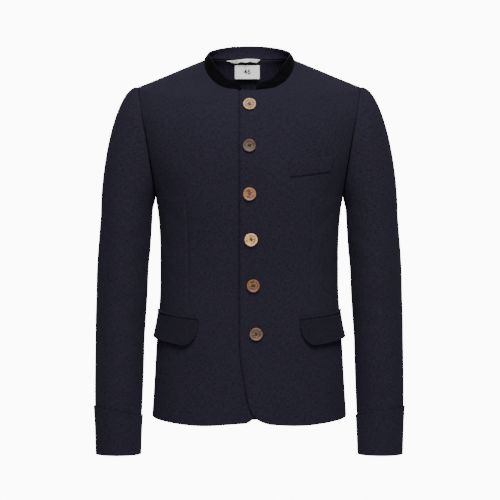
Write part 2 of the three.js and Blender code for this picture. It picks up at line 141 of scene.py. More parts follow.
def riseAt(angle, level):
    tilt = ring("tilt", level) * readColumn(body["aroundNeck"], "angle", "seam", turnOf(angle))
    blend = smoothStep(body["hemBlendTop"] - level, 0, body["hemBlendTop"] - body["hemLevel"])
    return tilt + blend * readColumn(body["aroundHem"], "angle", "drop", turnOf(angle))


def bodyPoint(angle, level):
    angle, level = np.broadcast_arrays(np.asarray(angle, float), np.asarray(level, float))
    power = 2 / ring("square", level)
    depth = np.where(np.cos(angle) > 0, ring("front", level), ring("back", level))
    x = halfWidth(angle, level) * signedPower(np.sin(angle), power)
    return np.stack([x, -depth * signedPower(np.cos(angle), power), level + riseAt(angle, level)], -1)


def bodyNormal(angle, level):
    across = bodyPoint(angle + 0.01, level) - bodyPoint(angle - 0.01, level)
    up = bodyPoint(angle, level + 1) - bodyPoint(angle, level - 1)
    return unit(np.cross(across, up))


def angleAt(x, level):
    x, level = np.broadcast_arrays(np.asarray(x, float), np.asarray(level, float))
    angle = np.full(x.shape, math.pi / 2)
    for _ in range(12):
        angle = np.arcsin(np.minimum(1, np.abs(x) / halfWidth(angle, level)) ** (ring("square", level) / 2))
    return np.sign(x) * angle


def placeAt(x, z, onBack=False):  # the body's angle and level at a place seen from the front
    x, z = np.broadcast_arrays(np.asarray(x, float), np.asarray(z, float))
    level = z.copy()
    for _ in range(12):
        angle = math.pi - angleAt(x, level) if onBack else angleAt(x, level)
        level = z - riseAt(angle, level)
    return angle, level


# Soft folds, placed one by one. Each runs from one place to another, and is a trough where its depth is below
# 0.
def pressFolds(angle, level, radius, folds):
    push = np.zeros(np.broadcast(angle, level).shape)
    for fold in folds:
        start = np.array([math.radians(fold["from"][0]) * radius, fold["from"][1]])
        along = np.array([math.radians(fold["to"][0]) * radius, fold["to"][1]]) - start
        across, up = angle * radius - start[0], level - start[1]
        t = np.clip((across * along[0] + up * along[1]) / (along @ along), 0, 1)
        away = (across - t * along[0]) ** 2 + (up - t * along[1]) ** 2
        push = push + fold["depth"] * np.sin(np.pi * (0.08 + 0.84 * t)) * np.exp(-away / fold["width"] ** 2)
    return push


bodyFolds = {
    "radius": 150,
    "folds": sizeTable("from to width depth", [
        ((68, -262), (44, -304), 11, -1.3), ((78, -292), (57, -340), 13, -1),
        ((60, -196), (51, -262), 14, -1.1), ((82, -366), (54, -379), 14, -1),
        ((50, -530), (54, -650), 24, 1.6), ((31, -545), (27, -650), 19, -1),
        ((24, -110), (44, -190), 34, 0.9), ((14, -62), (36, -96), 16, -0.7),
        ((70, -424), (84, -431), 12, -0.8), ((-66, -258), (-43, -296), 12, -1.4),
        ((-79, -284), (-60, -348), 12, -1), ((-58, -188), (-52, -254), 15, -1.2),
        ((-83, -374), (-50, -388), 14, -1.1), ((-24, -506), (-37, -566), 16, -0.8),
        ((-52, -535), (-49, -650), 24, 1.7), ((-33, -560), (-36, -652), 19, -1.1),
        ((-22, -120), (-44, -204), 34, 0.9), ((-30, -70), (-52, -86), 15, -0.7),
        ((-72, -436), (-86, -440), 12, -0.7), ((102, -332), (136, -352), 14, -1.8),
        ((112, -370), (160, -385), 15, -2), ((99, -401), (141, -407), 14, -1.4),
        ((113, -142), (123, -236), 17, -1.8), ((130, -168), (133, -252), 20, 1.2),
        ((150, -505), (147, -655), 26, 2), ((121, -525), (124, -650), 21, -1.5),
        ((166, -24), (138, -52), 14, -1), ((162, -64), (126, -88), 22, 1.1),
        ((-105, -340), (-142, -350), 14, -1.7), ((-110, -378), (-152, -396), 15, -1.9),
        ((-97, -408), (-134, -418), 14, -1.3), ((-111, -150), (-124, -244), 16, -1.9),
        ((-131, -165), (-132, -248), 20, 1.2), ((-148, -500), (-151, -655), 26, 1.9),
        ((-118, -520), (-120, -650), 21, -1.6), ((-168, -20), (-142, -48), 14, -0.9),
        ((-158, -68), (-124, -90), 22, 1),
    ]),
}


def bodyPush(angle, level):
    signed = np.where(angle > math.pi, angle - 2 * math.pi, angle)
    return pressFolds(signed, level, bodyFolds["radius"], bodyFolds["folds"])


# Shells. A turned edge bulges at its rim and dips towards its seam.
edgeTurn = {"rim": 0.35, "roll": 0.8, "reach": 1.7, "hem": 0.5, "neck": 0.1, "front": 2}


def runLength(points, axis):
    steps = np.linalg.norm(np.diff(points, axis=axis), axis=-1)
    pad = [(0, 0), (0, 0)]
    pad[axis] = (1, 0)
    return np.pad(np.cumsum(steps, axis=axis), pad)


def rolled(distance, depth=edgeTurn["roll"]):
    return -depth * np.exp(-(distance / edgeTurn["reach"]) ** 2)


def gridNormals(points, around=False):
    across = np.gradient(points, axis=1)
    if around:  # the first and last columns are the same line
        across[:, 0] = across[:, -1] = points[:, 1] - points[:, -2]
    return unit(np.cross(across, np.gradient(points, axis=0)))


def clothShell(name, outer, normals, thickness, across=None, along=None, around=False):
    rows, columns = outer.shape[:2]
    across = runLength(outer, 1) if across is None else across
    along = runLength(outer, 0) if along is None else along
    outside, inside = outer.reshape(-1, 3), (outer - normals * thickness).reshape(-1, 3)
    flat = np.stack([across, along], -1).reshape(-1, 2)
    index = np.arange(rows * columns).reshape(rows, columns)
    base = rows * columns
    low, high = index[:-1], index[1:]
    face = np.stack([low[:, :-1], low[:, 1:], high[:, 1:], high[:, :-1]], -1).reshape(-1, 4)
    quads = [face, face[:, ::-1] + base]
    points, maps = [outside, inside], [flat, flat]
    if around:
        rims = [(index[0], index[1]), (index[-1], index[-2])]
    else:
        rim = np.concatenate([index[0, :-1], index[:-1, -1], index[-1, :0:-1], index[::-1, 0]])
        i, j = np.divmod(rim, columns)
        rims = [(rim, index[np.clip(i, 1, rows - 2), np.clip(j, 1, columns - 2)])]
    total = 2 * base
    for edge, neighbour in rims:
        out = unit(outside[edge] - outside[neighbour])
        points.append((outside[edge] + inside[edge]) / 2 + out * thickness * edgeTurn["rim"])
        maps.append(flat[edge])
        bulge = total + np.arange(len(edge))
        total += len(edge)
        for one, two in ((edge, bulge), (bulge, edge + base)):
            quads.append(np.stack([one[:-1], one[1:], two[1:], two[:-1]], -1))
    return meshPiece(name, np.concatenate(points), np.concatenate(quads), np.concatenate(maps))


def meshPiece(name, points, faces, flatMap=None):
    mesh = bpy.data.meshes.new(name)
    mesh.from_pydata((points * mm).tolist(), [], faces.tolist())
    if flatMap is not None:
        uvLayer = mesh.uv_layers.new(name="cut")
        corners = np.empty(len(mesh.loops), dtype=np.int32)
        mesh.loops.foreach_get("vertex_index", corners)
        uvLayer.data.foreach_set("uv", (flatMap[corners] * mm).astype(np.float32).ravel())
    return shown(bpy.data.objects.new(name, welded(mesh)))


def welded(mesh):
    work = bmesh.new()
    work.from_mesh(mesh)
    bmesh.ops.remove_doubles(work, verts=work.verts, dist=2e-6)
    bmesh.ops.recalc_face_normals(work, faces=work.faces)
    work.to_mesh(mesh)
    work.free()
    return mesh


def shown(piece, smooth=True):
    bpy.context.scene.collection.objects.link(piece)
    piece.data.polygons.foreach_set("use_smooth", [smooth] * len(piece.data.polygons))
    return piece


# Materials. A wire is a socket that sums and products can be written on.
class Wire:
    def __init__(self, board, socket):
        self.board, self.socket = board, socket

    def join(self, operation, first, second=0.0):
        return self.board.add("ShaderNodeMath", {"operation": operation}, {0: first, 1: second})

    def __add__(self, other):
        return self.join("ADD", self, other)

    def __radd__(self, other):
        return self.join("ADD", other, self)

    def __sub__(self, other):
        return self.join("SUBTRACT", self, other)

    def __rsub__(self, other):
        return self.join("SUBTRACT", other, self)

    def __mul__(self, other):
        return self.join("MULTIPLY", self, other)

    def __rmul__(self, other):
        return self.join("MULTIPLY", other, self)

    def sine(self):
        return self.join("SINE", self)

    def between(self, low, high):  # 0 at low, 1 at high
        ends = {"Value": self, "From Min": low, "From Max": high}
        return self.board.add("ShaderNodeMapRange", {"interpolation_type": "SMOOTHSTEP"}, ends)


class Board:  # the nodes of one material, or of the studio's surroundings
    def __init__(self, name, owner=None):
        self.material = owner or bpy.data.materials.new(name)
        self.material.use_nodes = True
        self.tree = self.material.node_tree
        self.tree.nodes.clear()

    def add(self, kind, settings=None, values=None, output=0):
        node = self.tree.nodes.new(kind)
        for name, value in (settings or {}).items():
            setattr(node, name, value)
        for name, value in (values or {}).items():
            if isinstance(value, Wire):
                self.tree.links.new(value.socket, node.inputs[name])
            else:
                node.inputs[name].default_value = value
        return Wire(self, node.outputs[output]) if node.outputs else None

    def mix(self, factor, first, second):
        return self.add("ShaderNodeMix", {"data_type": "RGBA"}, {0: factor, 6: first, 7: second}, output=2)

    def noise(self, place, scale, detail=2.0, roughness=0.5):
        stretched = self.add("ShaderNodeVectorMath", {"operation": "MULTIPLY"}, {0: place, 1: scale})
        return self.add("ShaderNodeTexNoise", None,
                        {"Vector": stretched, "Scale": 1.0, "Detail": detail, "Roughness": roughness})

    def cut(self):  # a place on the flat cut, in metres
        return self.add("ShaderNodeUVMap", {"uv_map": "cut"})

    def part(self, vector, axis):
        return self.add("ShaderNodeSeparateXYZ", None, {0: vector}, output=axis)

    def finish(self, surface, height, bumpDistance):
        bump = self.add("ShaderNodeBump", None, {"Height": height, "Distance": bumpDistance})
        shader = self.add("ShaderNodeBsdfPrincipled", None, {**surface, "Normal": bump})
        self.add("ShaderNodeOutputMaterial", None, {"Surface": shader})
        return self.material


def rgba(red, green, blue):
    return (red, green, blue, 1.0)


wool = {
    "ink": (0.0040, 0.0039, 0.0078), "slate": (0.0166, 0.0156, 0.0256),
    "plum": (0.0230, 0.0098, 0.0255), "teal": (0.0060, 0.0138, 0.0225),
    "threadWidth": 1.3, "threadRun": 8, "pitch": 1.2, "patch": 80, "bump": 0.00022,
    "tone": (0.31, 0.69), "patchShare": 0.08, "weaveShare": 0.35, "speckLong": 0.45, "speckShort": 0.32,
    "plumFrom": (0.48, 0.64), "plumShare": 0.7, "tealFrom": (0.5, 0.66), "tealShare": 0.6,
}


# The second argument scales every wool colour: below 1 it makes a darker copy of the same cloth as painted
# shade, above 1 a lighter copy as painted light.
def woolCloth(name="darkBlueWool", shade=1.0):
    board = Board(name)
    place = board.cut()
    ends = ("ink", "slate", "plum", "teal")
    ink, slate, plum, teal = (rgba(*[shade * part for part in wool[end]]) for end in ends)
    fine, run, patch = (1 / (wool[size] * mm) for size in ("threadWidth", "threadRun", "patch"))
    long, short = fine * wool["speckLong"], fine * wool["speckShort"]
    warp = board.noise(place, (fine, run, 1.0), 3.0, 0.6)
    weft = board.noise(place, (run, fine, 5.0), 3.0, 0.6)
    patches = board.noise(place, (patch, patch, 2.0), 2.0)
    purple = board.noise(place, (long, short, 9.0), 2.0).between(*wool["plumFrom"])
    green = board.noise(place, (short, long, 14.0), 2.0).between(*wool["tealFrom"])
    tone = ((warp + weft) * 0.5 + (patches - 0.5) * wool["patchShare"]).between(*wool["tone"])
    colour = board.mix(purple * wool["plumShare"], board.mix(tone, ink, slate), plum)
    colour = board.mix(green * wool["tealShare"], colour, teal)
    turn = 2 * math.pi / (wool["pitch"] * mm)
    weave = (board.part(place, 0) * turn).sine() * (board.part(place, 1) * turn).sine()
    height = weave * wool["weaveShare"] + warp + weft
    surface = {"Base Color": colour, "Roughness": 0.95, "Specular IOR Level": 0.1, "Sheen Weight": 0.02,
               "Sheen Roughness": 0.6, "Sheen Tint": rgba(0.6, 0.6, 0.9)}
    return board.finish(surface, height, wool["bump"])


nap = {
    "black": rgba(0.0008, 0.0008, 0.0010), "grey": rgba(0.0028, 0.0028, 0.0034), "pile": 0.9, "bump": 0.0004,
    "brush": (40.0, 160.0, 3.0), "tone": (0.38, 0.62),
}


def blackNap():
    board = Board("blackNap")
    place = board.cut()
    pile = board.noise(place, (1 / (nap["pile"] * mm),) * 3, 4.0, 0.7)
    brushed = board.noise(place, nap["brush"], 2.0)
    colour = board.mix((pile * 0.6 + brushed * 0.4).between(*nap["tone"]), nap["black"], nap["grey"])
    surface = {"Base Color": colour, "Roughness": 1.0, "Specular IOR Level": 0.05, "Sheen Weight": 0.04,
               "Sheen Roughness": 0.4, "Sheen Tint": rgba(0.45, 0.45, 0.55)}
    return board.finish(surface, pile, nap["bump"])


tapes = {
    "ribbon": {"light": rgba(0.80, 0.78, 0.70), "dark": rgba(0.62, 0.60, 0.52),
               "pitch": 0.7, "roughness": 0.45},
    "label": {"light": rgba(0.97, 0.97, 0.96), "dark": rgba(0.90, 0.90, 0.89),
              "pitch": 0.5, "roughness": 0.75},
    "thread": {"light": rgba(0.007, 0.0065, 0.010), "dark": rgba(0.0035, 0.0035, 0.005),
               "pitch": 0.4, "roughness": 0.7},
    "number": {"light": rgba(0.035, 0.035, 0.04), "dark": rgba(0.02, 0.02, 0.024),
               "pitch": 0.4, "roughness": 0.8},
    "whiteThread": {"light": rgba(0.85, 0.85, 0.83), "dark": rgba(0.7, 0.7, 0.68),
                    "pitch": 0.4, "roughness": 0.7},
}


def wovenTape(name):
    look = tapes[name]
    board = Board(name + "Weave")
    place = board.add("ShaderNodeTexCoord", output=3)
    turn = 2 * math.pi / (look["pitch"] * mm)
    ribs = (board.part(place, 0) * turn).sine() * 0.5 + 0.5
    rows = (board.part(place, 2) * (turn * 1.4)).sine() * 0.5 + 0.5
    grain = board.noise(place, (900.0, 900.0, 900.0), 2.0)
    tone = (ribs * 0.3 + rows * 0.2 + grain * 0.5).between(0.25, 0.7)
    colour = board.mix(tone, look["dark"], look["light"])
    surface = {"Base Color": colour, "Roughness": look["roughness"], "Specular IOR Level": 0.3}
    return board.finish(surface, ribs * rows + grain * 0.4, 0.0001)


# The collar's inside and the neck facing wear a copy of the wool lightened to 1.5 as painted light.
# The flaps and pipings wear a copy of the wool darkened to 0.72 as painted shade.
cloth, flapClothPaintedShade, neckClothPaintedLight = woolCloth(), woolCloth("flapWoolPaintedShade", 0.72), woolCloth("neckWoolPaintedLight", 1.5)
napCloth = blackNap()
print("cloth and nap mixed")


# The coat's body. Levels run from the hem to the neck and columns from one edge of a panel to the other.
def bodyLevels():
    low = body["hemLevel"] + (body["armpitLevel"] - body["hemLevel"]) * pinched(body["rows"], 0.75)
    hole = armholeMiddle - armholeHalf * np.cos(np.linspace(0, math.pi, body["armholeRows"] + 1))
    top = body["tipLevel"] * (1 - np.linspace(0, 1, body["shoulderRows"] + 1))
    return np.concatenate([low, hole[1:], top[1:]])


def sideAngle(level, depthName):
    share = body["seamGap"] / 2 / ring(depthName, level)
    atSeam = np.arccos(share ** (ring("square", level) / 2))
    inHole = (level > body["armpitLevel"] + 0.01) & (level < body["tipLevel"] - 0.01)
    return np.where(inHole, angleAt(readColumn(body["armholeSeam"], "level", "x", level), level), atSeam)


def columnsBetween(ends, counts, pinch=0.85):
    parts = []
    for start, end, count in zip(ends[:-1], ends[1:], counts):
        part = start[:, None] + (end - start)[:, None] * pinched(count, pinch)
        parts.append(part[:, 1:] if parts else part)
    return np.concatenate(parts, 1)


fronts = {
    "topEdge": sizeTable("level x", [
        (-637, 36), (-634, 23), (-628, 12), (-621, 4.7), (-612, 0.3), (-600, -3.3), (-583, -6.6),
        (-557, -11), (-535, -14.5), (-500, -17.1),
    ]),
    "underEdge": sizeTable("level x", [
        (-637, -6), (-634, 0), (-629, 5.5), (-622, 9), (-612, 12), (-600, 14.5), (-583, 16.5), (-560, 18),
    ]),
    "leftDart": [{"level": -450, "x": 106.3}, {"level": -378, "x": 108.1}, {"level": -255, "x": 110.7}],
    "rightDart": [{"level": -450, "x": 107.4}, {"level": -334, "x": 108.2}, {"level": -245, "x": 112.6}],
    "dartTop": -250, "dartFoot": -452, "dartDepth": 1.8, "dartReach": 1.7, "dartFade": 14,
    "dartBlend": 60, "lapDip": 5, "lapStart": 0.5, "lapWidth": 3.4, "lapEdge": 4,
    "columns": (30, 38), "lapColumns": 14, "underColumns": 24,
}


def panelPush(angles, levels, points, dartColumn=None, firstRoll=edgeTurn["roll"]):
    push = bodyPush(angles, levels)
    run, climb = runLength(points, 1), runLength(points, 0)
    push = push + rolled(run, firstRoll) + rolled(run[:, -1:] - run)
    push = push + rolled(climb, edgeTurn["hem"]) + rolled(climb[-1:] - climb, edgeTurn["neck"])
    if dartColumn is not None:
        away = (run - run[:, dartColumn:dartColumn + 1]) / fronts["dartReach"]
        top = 1 - smoothStep(levels, fronts["dartTop"] - fronts["dartFade"], fronts["dartTop"])
        foot = smoothStep(levels, fronts["dartFoot"], fronts["dartFoot"] + fronts["dartFade"])
        push = push - fronts["dartDepth"] * top * foot * np.exp(-away ** 2)
    return push, run, climb


def dartAngle(table, levels, side):  # above the dart the same line runs on towards the shoulder
    atDart = angleAt(readColumn(table, "level", "x", levels), levels)
    armpit = np.argmin(np.abs(levels - body["armpitLevel"]))
    share = atDart[armpit] / side[armpit]
    blend = smoothStep(levels, body["armpitLevel"], body["armpitLevel"] + fronts["dartBlend"])
    return atDart * (1 - blend) + side * share * blend


def makeTopFront(levels):
    edge = readColumn(fronts["topEdge"], "level", "x", levels)
    side = sideAngle(levels, "front")
    ends = [angleAt(edge, levels), dartAngle(fronts["leftDart"], levels, side), side]
    angles = columnsBetween(ends, fronts["columns"])
    grid = np.broadcast_to(levels[:, None], angles.shape)
    points = bodyPoint(angles, grid)
    push, run, climb = panelPush(angles, grid, points, fronts["columns"][0], edgeTurn["front"])
    normals = bodyNormal(angles, grid)
    return clothShell("topFront", points + normals * push[..., None], normals, body["cloth"],
                      run + edge[:, None], climb)


def makeUnderFront(levels):
    cover = readColumn(fronts["topEdge"], "level", "x", levels) - fronts["lapStart"]
    edge = readColumn(fronts["underEdge"], "level", "x", levels)
    bend = np.minimum(edge - fronts["lapEdge"], cover) - fronts["lapWidth"]
    side = sideAngle(levels, "front")
    dart = dartAngle(fronts["rightDart"], levels, side)
    ends = [-side, -dart, angleAt(bend, levels), angleAt(edge, levels)]
    angles = columnsBetween(ends, (fronts["columns"][1], fronts["underColumns"], fronts["lapColumns"]))
    grid = np.broadcast_to(levels[:, None], angles.shape)
    points = bodyPoint(angles, grid)
    push, run, climb = panelPush(angles, grid, points, fronts["columns"][1])
    near = cover[:, None]
    push = push - fronts["lapDip"] * smoothStep(points[..., 0], near - fronts["lapWidth"], near)
    normals = bodyNormal(angles, grid)
    return clothShell("underFront", points + normals * push[..., None], normals, body["cloth"],
                      run - run[:, -1:] + edge[:, None], climb)


def makeBack(name, side, levels, columns=58):
    middle = math.pi - angleAt(np.full(levels.shape, body["seamGap"] / 2), levels)
    ends = [math.pi - sideAngle(levels, "back"), middle]
    angles = side * columnsBetween(ends, (columns,))
    grid = np.broadcast_to(levels[:, None], angles.shape)
    points = bodyPoint(angles, grid)
    push, run, climb = panelPush(angles, grid, points)
    normals = bodyNormal(angles, grid)
    return clothShell(name, points + normals * push[..., None], normals, body["cloth"], side * run, climb)


levels = bodyLevels()
topFront, underFront = makeTopFront(levels), makeUnderFront(levels)
backLeft, backRight = makeBack("backLeft", 1, levels), makeBack("backRight", -1, levels)
print("body cut and pressed")

# Sleeves, and the cuffs turned back over their ends
sleeve = {
    "rings": sizeTable("level x y width depth", [
        (-704, 234.3, -18, 38.7, 44), (-650, 234.3, -15.5, 40.6, 46), (-609, 234, -13, 42.8, 48),
        (-544, 232.9, -9, 43.9, 50.5), (-501, 232.2, -6, 44.2, 52.5), (-458, 230.7, -3.5, 45.3, 54.5),
        (-415, 228.6, -2, 45.9, 56.5), (-372, 227, -1, 46, 58.5), (-330, 224.1, 0, 46.9, 60.5),
        (-275, 220.4, 0, 46.6, 62),
    ]),
    "endLevel": -702, "headRows": 30, "tubeRows": 96,
    "topReach": 36, "lowReach": 6, "fullness": 13, "pull": 0.44,
    "lowOut": 0.15, "forward": 0.25, "topLift": 1.12,
    "seams": (148, 262), "columns": (40, 26, 28), "seamDepth": 0.55, "seamReach": 1.1, "radius": 54,
    "folds": sizeTable("from to width depth", [
        ((150, -300), (96, -330), 11, -1.3), ((158, -340), (112, -372), 12, -1.1),
        ((30, -110), (52, -190), 20, 0.8), ((132, -424), (72, -440), 13, -1.5),
        ((146, -462), (88, -470), 13, -1.4), ((128, -498), (78, -520), 14, -1),
        ((60, -548), (118, -572), 15, -1), ((40, -590), (96, -604), 14, -0.9),
        ((-40, -420), (-96, -404), 16, -1.4), ((-52, -468), (-112, -452), 15, -1.6),
        ((-60, -512), (-118, -530), 16, -1.3), ((-120, -300), (-70, -340), 15, -1.2),
        ((-24, -560), (-84, -590), 17, -1), ((-8, -330), (20, -420), 24, 0.9),
    ]),
}
cuff = {
    "middleTop": -626.5, "slant": 8.5, "bottom": -704.4, "ledge": 1.6, "thickness": 1.8, "rows": 26,
    "flare": 0.5,
}


def sleeveRing(around, level, lift):
    names = ("x", "y", "width", "depth")
    x, y, width, depth = (readColumn(sleeve["rings"], "level", name, level) for name in names)
    out = unit(np.stack([np.cos(around) / width, -np.sin(around) / depth], -1))
    return np.stack([x + width * np.cos(around) + lift * out[..., 0],
                     y - depth * np.sin(around) + lift * out[..., 1], level + 0 * around], -1)


def sleevePush(around, level):
    signed = np.where(around > math.pi, around - 2 * math.pi, around)
    push = pressFolds(signed, level, sleeve["radius"], sleeve["folds"])
    for seam in sleeve["seams"]:
        away = (around - math.radians(seam)) * sleeve["radius"] / sleeve["seamReach"]
        push = push - sleeve["seamDepth"] * np.exp(-away ** 2)
    return push


def armholePoint(around):
    level = armholeMiddle + armholeHalf * np.cos(around)
    angle = angleAt(readColumn(body["armholeSeam"], "level", "x", level), level)
    return bodyPoint(np.where(np.sin(around) < -1e-9, math.pi - angle, angle), level)


def sleeveHead(around, t):
    start = armholePoint(around) + np.array([body["seamGap"], 0, 0])
    end = sleeveRing(around, np.full(around.shape, float(sleeve["rings"][-1]["level"])), 0)
    high = (1 + np.cos(around)) / 2
    aside = sleeve["lowOut"] + (1 - sleeve["lowOut"]) * high ** 2
    out = unit(np.stack([aside, -sleeve["forward"] * np.sin(around), sleeve["topLift"] * high ** 4 - 1], -1))
    reach = sleeve["lowReach"] + (sleeve["topReach"] - sleeve["lowReach"]) * high
    reach = reach + sleeve["fullness"] * np.sin(around) ** 2
    first = start + out * reach[:, None]
    second = end + np.stack([0 * around, 0 * around, sleeve["pull"] * (start[:, 2] - end[:, 2])], -1)
    t = t[:, None, None]
    return start * (1 - t) ** 3 + first * 3 * t * (1 - t) ** 2 + second * 3 * t ** 2 * (1 - t) + end * t ** 3


def sleeveColumns():
    turns = [0, *sleeve["seams"], 360]
    return columnsBetween([np.radians([float(turn)]) for turn in turns], sleeve["columns"], 0.75)[0]


def makeSleeve(name, side):
    around = sleeveColumns()
    t = np.linspace(0, 1, sleeve["headRows"] + 1)
    head = sleeveHead(around, t)
    down = np.linspace(sleeve["rings"][-1]["level"], sleeve["endLevel"], sleeve["tubeRows"] + 1)[1:]
    tube = sleeveRing(around[None, :], down[:, None] + 0 * around[None, :], 0)
    points = np.concatenate([head, tube])
    normals = gridNormals(points, around=True)
    grid = np.broadcast_to(around, points.shape[:2])
    drop = runLength(points, 0)
    push = sleevePush(grid, points[..., 2]) * smoothStep(drop, 0, 25) + rolled(drop)
    points = points + normals * push[..., None]
    flip = np.array([side, 1, 1])
    across = side * np.broadcast_to(runLength(points, 1)[len(t)], points.shape[:2])
    return clothShell(name, points * flip, normals * flip, body["cloth"], across, drop[len(t)] - drop,
                      around=True)


def makeCuff(name, side):
    around = sleeveColumns()
    top = cuff["middleTop"] + cuff["slant"] * np.cos(around)
    proud, under, bottom = body["seamGap"] + cuff["thickness"], -body["cloth"], cuff["bottom"]
    shares = pinched(cuff["rows"], 0.8)
    outside = [(top - 0.7 + (bottom + 1.7 - top) * s, proud + cuff["flare"] * (1 - s) ** 6) for s in shares]
    foot = [(bottom + 0.3, proud - 0.3), (bottom, proud - 1), (bottom, under + 0.6), (bottom + 0.6, under),
            (bottom + cuff["ledge"], under), (bottom + cuff["ledge"], body["seamGap"])]
    back = [(bottom + 2.6 + (top - 3.3 - bottom) * s, body["seamGap"] + cuff["flare"] * s ** 6)
            for s in shares]
    crest = [(top - 0.1, body["seamGap"] + cuff["flare"] + 0.5), (top, proud + cuff["flare"] - 0.9)]
    outline = outside + foot + back + crest + outside[:1]
    rows = []
    for level, lift in outline:
        level = level + 0 * around
        rows.append(sleeveRing(around, level, lift + sleevePush(around, level)))
    points = np.array(rows) * np.array([side, 1, 1])
    count, columns = points.shape[:2]
    index = np.arange(count * columns).reshape(count, columns)
    low, high = index[:-1], index[1:]
    faces = np.stack([low[:, :-1], low[:, 1:], high[:, 1:], high[:, :-1]], -1).reshape(-1, 4)
    across = side * np.broadcast_to(runLength(points, 1)[0], (count, columns))
    flat = np.stack([across, -runLength(points, 0)], -1).reshape(-1, 2)
    return meshPiece(name, points.reshape(-1, 3), faces, flat)


sleeveLeft, sleeveRight = makeSleeve("sleeveLeft", 1), makeSleeve("sleeveRight", -1)
cuffLeft, cuffRight = makeCuff("cuffLeft", 1), makeCuff("cuffRight", -1)
print("sleeves set in, cuffs turned back")

# Stand collar: black outside, the coat's own cloth inside, lightened as painted light
collar = {
    "topEdge": sizeTable("angle halfWidth height", [
        (0, 69, -44), (30, 69, -38), (45, 69, -26.5), (60, 71, -8.5), (75, 74, 6), (90, 74.5, 14),
        (105, 74, 19), (120, 73.5, 23.5), (140, 73, 28.5), (160, 72, 32), (180, 71, 33),
    ]),
    "topFront": 71, "topBack": 57, "left": -9.8, "right": 8.2, "round": 17, "least": 0.16, "bulge": 1.2,
    "gap": 0.15, "cloth": 1.5, "rows": 12, "columns": 170,
}


def collarPoints():
    start, end = math.radians(collar["right"]), 2 * math.pi + math.radians(collar["left"])
    angle = start + (end - start) * pinched(collar["columns"], 0.85)
    seam = bodyPoint(angle, np.zeros(angle.shape))
    depth = np.where(np.cos(angle) > 0, collar["topFront"], collar["topBack"])
    names = ("halfWidth", "height")
    wide, height = (readColumn(collar["topEdge"], "angle", name, turnOf(angle)) for name in names)
    top = np.stack([wide * np.sin(angle), -depth * np.cos(angle), height], -1)
    fromEnd = np.minimum(angle - start, end - angle) / math.radians(collar["round"])
    rounding = np.sqrt(1 - (1 - np.clip(fromEnd, 0, 1)) ** 2)
    length = np.linalg.norm(top - seam, axis=-1) * np.maximum(collar["least"], rounding)
    share = pinched(collar["rows"], 0.6)[:, None]
    climb = collar["gap"] + share * (length - collar["gap"])
    outward = np.stack([np.sin(angle), -np.cos(angle), 0 * angle], -1)
    bulge = collar["bulge"] * np.sin(np.pi * share)
    return seam + unit(top - seam) * climb[..., None] + outward * bulge[..., None]


def makeCollar():
    points = collarPoints()
    normals = gridNormals(points)
    outer = clothShell("collarBlack", points, normals, collar["cloth"])
    shifted = points - normals * (collar["cloth"] + body["seamGap"])
    return outer, clothShell("collarInside", shifted, normals, collar["cloth"])


collarBlack, collarInside = makeCollar()

# Inside the back neck: the facing, the label and the ribbon loop
inside = {
    "halfWidth": 70, "depth": 75, "least": 7, "cloth": 1, "gap": 0.5, "rows": 22, "columns": 60, "rounds": 5,
}
label = {
    "left": -26.3, "right": 18.7, "top": -1.6, "bottom": -26.4, "hang": 7, "thickness": 0.7,
    "rows": 14, "columns": 26, "number": "46", "numberSize": 13, "numberBold": 0.22, "numberMiddle": -13.4,
    "numberDeep": 0.12, "stitchInset": 1.2,
}
loop = {
    "edges": sizeTable("x top bottom", [
        (-41, 8.4, 7.6), (-37, 8.6, 5), (-32, 8.8, 2.4), (-23.4, 9.1, 1.4), (-15.2, 9.4, 4.2),
        (-3.8, 9.8, 6.7), (4.6, 9.8, 4), (13.2, 9.6, 2.6), (16.4, 9.4, 4.8), (19.6, 9.2, 8.4),
    ]),
    "width": 7.6, "bow": 2, "twist": 0.4, "columns": 56, "rows": 6, "thickness": 0.8,
}


def insidePoint(x, z, extra):  # lies at x and z as seen from the front
    atX, atZ = x, z
    for _ in range(inside["rounds"]):
        angle, level = placeAt(atX, atZ, onBack=True)
        normal = bodyNormal(angle, level)
        deep = body["fullCloth"] + 2 * inside["gap"] + inside["cloth"] + extra - bodyPush(angle, level)
        point = bodyPoint(angle, level) - normal * deep[..., None]
        atX, atZ = atX + x - point[..., 0], atZ + z - point[..., 2]
    return point, normal


def makeFacing():
    share = np.linspace(0, 1, inside["rows"] + 1)[:, None]
    across = np.sin(np.linspace(math.pi / 2, -math.pi / 2, inside["columns"] + 1))[None, :]
    low = inside["least"] + (inside["depth"] - inside["least"]) * np.sqrt(1 - across ** 2)
    level = -body["seamGap"] - share * low
    angle = math.pi - angleAt(across * inside["halfWidth"], level)
    normal = bodyNormal(angle, level)
    deep = body["fullCloth"] + inside["gap"] - bodyPush(angle, level)
    points = bodyPoint(angle, level) - normal * deep[..., None]
    return clothShell("neckFacing", points, normal, inside["cloth"])


def makeLabel():
    x = np.linspace(label["left"], label["right"], label["columns"] + 1)[None, :]
    z = np.linspace(label["top"], label["bottom"], label["rows"] + 1)[:, None]
    points, _ = insidePoint(x + 0 * z, z + 0 * x, labelHang(z))
    return clothShell("sizeLabel", points, gridNormals(points), label["thickness"])


def labelHang(z):  # sewn on along its top, so it hangs straight down from there
    return label["hang"] * (label["top"] - z) / (label["top"] - label["bottom"])


def makeLoop():  # one flat ribbon that twists forward where less of its width is seen
    u, v = np.linspace(0, 1, loop["columns"] + 1)[None, :], np.linspace(0, 1, loop["rows"] + 1)[:, None]
    left, right = loop["edges"][0]["x"], loop["edges"][-1]["x"]
    x = left + u * (right - left)
    top, bottom = (readColumn(loop["edges"], "x", name, x) for name in ("top", "bottom"))
    forward = np.sqrt(np.maximum(loop["width"] ** 2 - (top - bottom) ** 2, 0)) * loop["twist"]
    extra = loop["bow"] * np.sin(np.pi * u) + v * forward * np.sin(np.pi * u)
    points, _ = insidePoint(x + 0 * v, top + v * (bottom - top), extra)
    return clothShell("hangerLoop", points, gridNormals(points), loop["thickness"])


